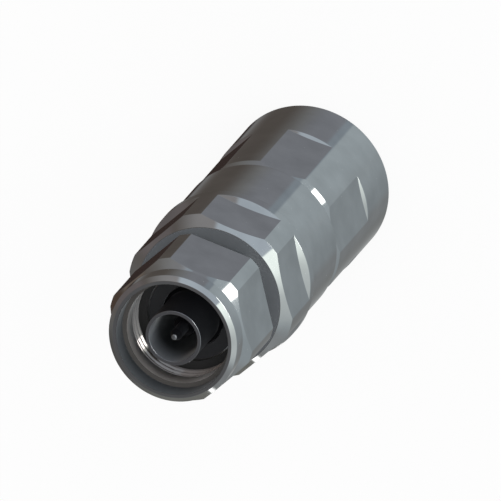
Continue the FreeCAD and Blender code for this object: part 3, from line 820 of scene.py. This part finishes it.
# Coupling nut: turned from brass bar and plated, with a round collar in front and six flats milled
# behind it. It turns freely on the neck, and its mouth opens on the 5/8-24 thread that draws the
# plug onto the jack.
coupling_pitch = 25.4 / 24
coupling_corner = 10.5
coupling_apothem = 9.5
coupling_collar = 9.3
coupling_base = 48.9
coupling_face = 62.8
collar_base = 59.8
coupling_mouth = 8.1
mouth_depth = 2.85
land_top = coupling_face - mouth_depth
land_ease = 0.02
lip_ease = 0.06
coupling_minor = 7.45
coupling_major = 7.94
thread_top = 57.3
thread_base = 53.9
thread_floor = 53.3
thread_run_out = 0.4
bright_thread = 0.34
rear_edge = 0.15
face_chamfer_width = 0.7
face_chamfer_length = 0.45


def coupling_nut_section(angle):
    flat = flatted(coupling_corner, coupling_apothem, angle)
    thread = [(coupling_major - (coupling_major - coupling_minor)
               * thread_ridge(height, angle, coupling_pitch, thread_base - thread_run_out / 2,
                              thread_top + thread_run_out, thread_run_out), height, 0)
              for height in thread_heights(thread_base, thread_top, coupling_pitch)]
    catch_roof = (neck_radius + coupling_bore) / 2 + catch_half
    return [
        (coupling_bore, coupling_base, None), (flat - rear_edge, coupling_base, 0.04),
        (flat, coupling_base + rear_edge, 0.04),
        (flat, collar_base - (flat - coupling_collar), 0.05), (coupling_collar, collar_base, 0.06),
        (coupling_collar, coupling_face - face_chamfer_length, 0.06),
        (coupling_collar - face_chamfer_width, coupling_face, 0.06),
        (coupling_mouth, coupling_face, lip_ease), (coupling_mouth, land_top, 0.06),
        (coupling_minor, land_top, land_ease), (coupling_minor, thread_top + thread_lead, 0),
        *thread[::-1],
        (coupling_mouth, thread_base, 0.04), (coupling_mouth, thread_floor, None),
        (coupling_bore, thread_floor, None),
        (coupling_bore, catch_height + catch_half, 0.04), (catch_roof, catch_height + catch_half, 0.04),
        (catch_roof, catch_height - catch_half, 0.04), (coupling_bore, catch_height - catch_half, 0.04),
    ]


coupling_nut = turned("coupling_nut_shell", coupling_nut_section,
                      flatted_turn(coupling_corner, coupling_apothem))
fitted(coupling_nut, "coupling_nut", "coupling_nut", dark_nickel, mirrored=False)
# Painted shade and reflection inside the nut: the bore and the thread's grooves are a matt near black, the
# mouth wall a matt bluish grey that paints its reflection and darkens towards the land as painted shade, the
# step a matt dark grey, the land a matt brown-grey that paints its reflection, and only the thread's crests
# a lighter, glossy plate.
nickel_bore_painted_shade = plated("nickel_bore_painted_shade_plate", (0.05, 0.05, 0.05), 0.4, 0.3, metallic=0.0, shine=0.1)
nickel_mouth_painted_shade = plated("nickel_mouth_painted_shade_plate", (0.10, 0.11, 0.12), 0.4, 0.3, metallic=0.0, shine=0.2,
                      darker=(land_top, coupling_face, 0.35))
nickel_step_painted_shade = plated("nickel_step_painted_shade_plate", (0.095, 0.09, 0.085), 0.3, 0.3, metallic=0.05, shine=0.2)
nickel_land_painted_reflection = plated("nickel_land_painted_reflection_plate", (0.34, 0.32, 0.31), 0.3, 0.3, metallic=0.0, shine=0.2)
thread_nickel = plated("thread_nickel_plate", (0.26, 0.24, 0.23), 0.06, 0.15, metallic=0.5)
finished_where(coupling_nut, nickel_bore_painted_shade, lambda radius, height: radius < coupling_mouth + lip_ease)
finished_where(coupling_nut, nickel_mouth_painted_shade, lambda radius, height:
               radius < coupling_mouth + hair / 2 and height > land_top + hair)
finished_where(coupling_nut, nickel_step_painted_shade, lambda radius, height:
               radius < coupling_mouth - land_ease and abs(height - land_top) < land_ease)
finished_where(coupling_nut, nickel_land_painted_reflection, lambda radius, height:
               radius < coupling_mouth - land_ease and thread_top < height < land_top - land_ease)
# Painted shade in the thread: only its crests take the lighter plate, and the grooves keep the near-black
# bore finish.
finished_where(coupling_nut, thread_nickel, lambda radius, height:
               radius < coupling_minor + bright_thread and thread_base < height < thread_top)

# Floor: a plain white sheet that the plug stands on. It shows as the white background and
# keeps the plug's soft shadow. Its size, and those of the tent and the lamp, are in metres.
floor_half = 1.5
floor_gap = 0.02 * mm
floor_mesh = bpy.data.meshes.new("floor")
floor_mesh.from_pydata([(x * floor_half, y * floor_half, -floor_gap)
                        for x, y in ((-1, -1), (1, -1), (1, 1), (-1, 1))], [], [(0, 1, 2, 3)])
floor = bpy.data.objects.new("floor", floor_mesh)
bpy.context.scene.collection.objects.link(floor)
floor.visible_glossy = False


def background_rays(nodes, links):
    """One for the rays that show the background: straight from the camera, or off metal or glass."""
    path = nodes.new("ShaderNodeLightPath")
    shown = path.outputs["Is Camera Ray"]
    for kind in ("Is Glossy Ray", "Is Transmission Ray"):
        either = nodes.new("ShaderNodeMath")
        either.operation = "MAXIMUM"
        links.new(shown, either.inputs[0])
        links.new(path.outputs[kind], either.inputs[1])
        shown = either.outputs[0]
    return shown


sheet = bpy.data.materials.new("white_sheet")
sheet.use_nodes = True
nodes, links = sheet.node_tree.nodes, sheet.node_tree.links
paper = nodes["Principled BSDF"]
paper.inputs["Base Color"].default_value = (0.85, 0.85, 0.85, 1)
paper.inputs["Roughness"].default_value = 0.9
paper.inputs["Specular IOR Level"].default_value = 0.0
glow = nodes.new("ShaderNodeEmission")
share = nodes.new("ShaderNodeMath")
share.operation = "MULTIPLY"
share.inputs[1].default_value = 0.9
links.new(background_rays(nodes, links), share.inputs[0])
mixed = nodes.new("ShaderNodeMixShader")
links.new(share.outputs[0], mixed.inputs[0])
links.new(paper.outputs[0], mixed.inputs[1])
links.new(glow.outputs[0], mixed.inputs[2])
links.new(mixed.outputs[0], nodes["Material Output"].inputs["Surface"])
floor_mesh.materials.append(sheet)

# Light tent: cloth hung round the plug that only its bright metal sees. A white board hangs
# in front, a brown drape to the right, and bright boxes give the chamfers their glints.
world = bpy.data.worlds.new("studio")
bpy.context.scene.world = world
world.use_nodes = True
nodes, links = world.node_tree.nodes, world.node_tree.links
level = nodes.new("ShaderNodeMapRange")
level.inputs["To Min"].default_value = 0.8
level.inputs["To Max"].default_value = 1.0
links.new(background_rays(nodes, links), level.inputs["Value"])
links.new(level.outputs[0], nodes["Background"].inputs["Strength"])
nodes["Background"].inputs["Color"].default_value = (1, 1, 1, 1)
tent_radius = 2.0
tent_cloth = (0.57, 0.60, 0.62)
hung = [
    # Sides and their softness, ends and their softness in degrees, then the colour.
    # Pale cloth to the left
    ((-172, -141), (20, 20), (-90, 12), (5, 12), (0.63, 0.70, 0.745)),
    ((-175, -99), (15, 2), (15, 90), (25, 5), (0.64, 0.72, 0.77)),
    # A white board in front, and the grey cloth at its right edge
    ((-105, -72), (70, 4), (-90, 90), (5, 5), (0.80, 0.90, 0.96)),
    ((-72, -60), (3, 14), (-90, 50), (5, 20), (0.54, 0.62, 0.70)),
    ((-60, -34), (6, 30), (-90, 50), (5, 20), (0.48, 0.50, 0.555)),
    # A brown drape to the right
    ((18, 40), (60, 60), (-90, 90), (5, 5), (0.235, 0.205, 0.185)),
    # Grey cloth behind, darker where it meets the drape
    ((105, 142), (20, 22), (-20, 14), (75, 12), (0.38, 0.38, 0.355)),
    ((72, 92), (18, 22), (-30, 14), (15, 24), (0.21, 0.205, 0.20)),
    ((80, 92), (16, 22), (-90, -45), (5, 15), (0.05, 0.034, 0.03)),
    # Light and dark folds of the drape
    ((20, 37), (8, 6), (-3, 12), (8, 8), (0.34, 0.27, 0.22)),
    ((46, 58), (8, 10), (-30, 0), (20, 6), (0.165, 0.115, 0.09)),
    ((20, 45), (10, 10), (18, 34), (6, 8), (0.31, 0.27, 0.27)),
    # A pale strip between board and drape
    ((-41, -34), (4, 6), (14, 30), (6, 8), (0.62, 0.70, 0.79)),
    # The roof, dark behind, grey to the right, white in front and to the left
    ((50, 150), (30, 30), (40, 90), (20, 5), (0.21, 0.21, 0.22)),
    ((-32, -24), (4, 42), (36, 90), (24, 5), (0.56, 0.54, 0.55)),
    ((-99, -32), (0.5, 6), (42, 70), (15, 8), (0.92, 1.03, 1.15)),
    ((-172, -99), (20, 1), (38, 62), (14, 8), (1.08, 1.16, 1.17)),
    # Light boxes: a soft one in the roof and three small ones
    ((-102, -99), (58, 1), (40, 60), (6, 8), (2.5, 2.7, 2.6)),
    ((-121, -104), (1, 1), (30, 41), (2, 2), (9.0, 9.0, 9.0)),
    ((-105.5, -89), (0.8, 0.8), (-31, 33), (1, 1), (6.0, 6.1, 6.0)),
    ((147, 150.5), (1, 1), (-8, 18), (2, 2), (4.0, 4.0, 4.0)),
]


def soft_step(value, low, high):
    share = min(1, max(0, (value - low) / (high - low)))
    return share * share * (3 - 2 * share)


def panel_cover(bearing, rise, sides, soft_sides, ends, soft_ends):
    """How much a hung panel covers a direction: 1 between its sides and ends, 0 well outside."""
    off = (bearing - sum(sides) / 2 + 180) % 360 - 180
    half = (sides[1] - sides[0]) / 2
    across = soft_step(off, -half - soft_sides[0], -half) * soft_step(-off, -half - soft_sides[1], -half)
    along = (soft_step(rise, ends[0] - soft_ends[0], ends[0])
             * soft_step(-rise, -ends[1] - soft_ends[1], -ends[1]))
    return across * along


tent_mesh = bpy.data.meshes.new("light_tent")
ball = bmesh.new()
bmesh.ops.create_uvsphere(ball, u_segments=360, v_segments=180, radius=tent_radius)
ball.to_mesh(tent_mesh)
ball.free()
cloth_light = tent_mesh.color_attributes.new("cloth_light", "FLOAT_COLOR", "POINT")
for vertex, value in zip(tent_mesh.vertices, cloth_light.data):
    x, y, z = vertex.co / tent_radius
    bearing = math.degrees(math.atan2(y, x))
    rise = math.degrees(math.asin(max(-1, min(1, z))))
    shade = Vector(tent_cloth)
    for *panel, colour in hung:
        shade = shade.lerp(Vector(colour), panel_cover(bearing, rise, *panel))
    value.color = (*shade, 1)
tent = bpy.data.objects.new("light_tent", tent_mesh)
bpy.context.scene.collection.objects.link(tent)
cloth = bpy.data.materials.new("lit_cloth")
cloth.use_nodes = True
nodes, links = cloth.node_tree.nodes, cloth.node_tree.links
painted = nodes.new("ShaderNodeVertexColor")
painted.layer_name = "cloth_light"
lit = nodes.new("ShaderNodeEmission")
links.new(painted.outputs["Color"], lit.inputs["Color"])
links.new(lit.outputs[0], nodes["Material Output"].inputs["Surface"])
cloth.cycles.emission_sampling = "NONE"
tent_mesh.materials.append(cloth)
tent.visible_camera = False
tent.visible_diffuse = False
tent.visible_shadow = False
tent.visible_transmission = False

# Key lamp: one soft box high in front, which lights the rubber and plastic and gives the
# sheet its faint shadow. The metal sees the tent instead.
key = bpy.data.lights.new("key_lamp", "AREA")
key.shape = "RECTANGLE"
key.size = 0.9
key.size_y = 0.5
key.energy = 6.0
key_lamp = bpy.data.objects.new("key_lamp", key)
bpy.context.scene.collection.objects.link(key_lamp)
key_bearing = math.radians(-95)
key_rise = math.radians(58)
key_reach = 1.5
key_lamp.location = Vector((math.cos(key_bearing) * math.cos(key_rise),
                            math.sin(key_bearing) * math.cos(key_rise), math.sin(key_rise))) * key_reach
key_lamp.rotation_euler = key_lamp.location.to_track_quat("Z", "Y").to_euler()
key_lamp.visible_glossy = False

# Camera: a parallel view down on the mating end, rolled so that the plug lies from lower left
# to upper right, as in the picture.
camera_bearing = math.radians(8.5)
camera_rise = math.radians(62.6)
axis_roll = math.radians(48.6)
aim_height = 27.19
pixels_per_mm = 7.25
frame_pixels = 501
camera_reach = 0.5
across_view = Vector((math.sin(camera_bearing), -math.cos(camera_bearing), 0))
upright = Vector((0, 0, 1))
back = across_view * math.cos(camera_rise) + upright * math.sin(camera_rise)
towards_tip = upright * math.cos(camera_rise) - across_view * math.sin(camera_rise)
sideways = across_view.cross(upright)
right = -math.cos(axis_roll) * towards_tip + math.sin(axis_roll) * sideways
up = -math.sin(axis_roll) * towards_tip - math.cos(axis_roll) * sideways
camera_data = bpy.data.cameras.new("camera")
camera_data.type = "ORTHO"
camera_data.ortho_scale = frame_pixels / pixels_per_mm * mm
camera = bpy.data.objects.new("camera", camera_data)
bpy.context.scene.collection.objects.link(camera)
placing = Matrix((right, up, back)).transposed().to_4x4()
placing.translation = upright * aim_height * mm + back * camera_reach
camera.matrix_world = placing
bpy.context.scene.camera = camera
bpy.context.scene.view_settings.view_transform = "Standard"
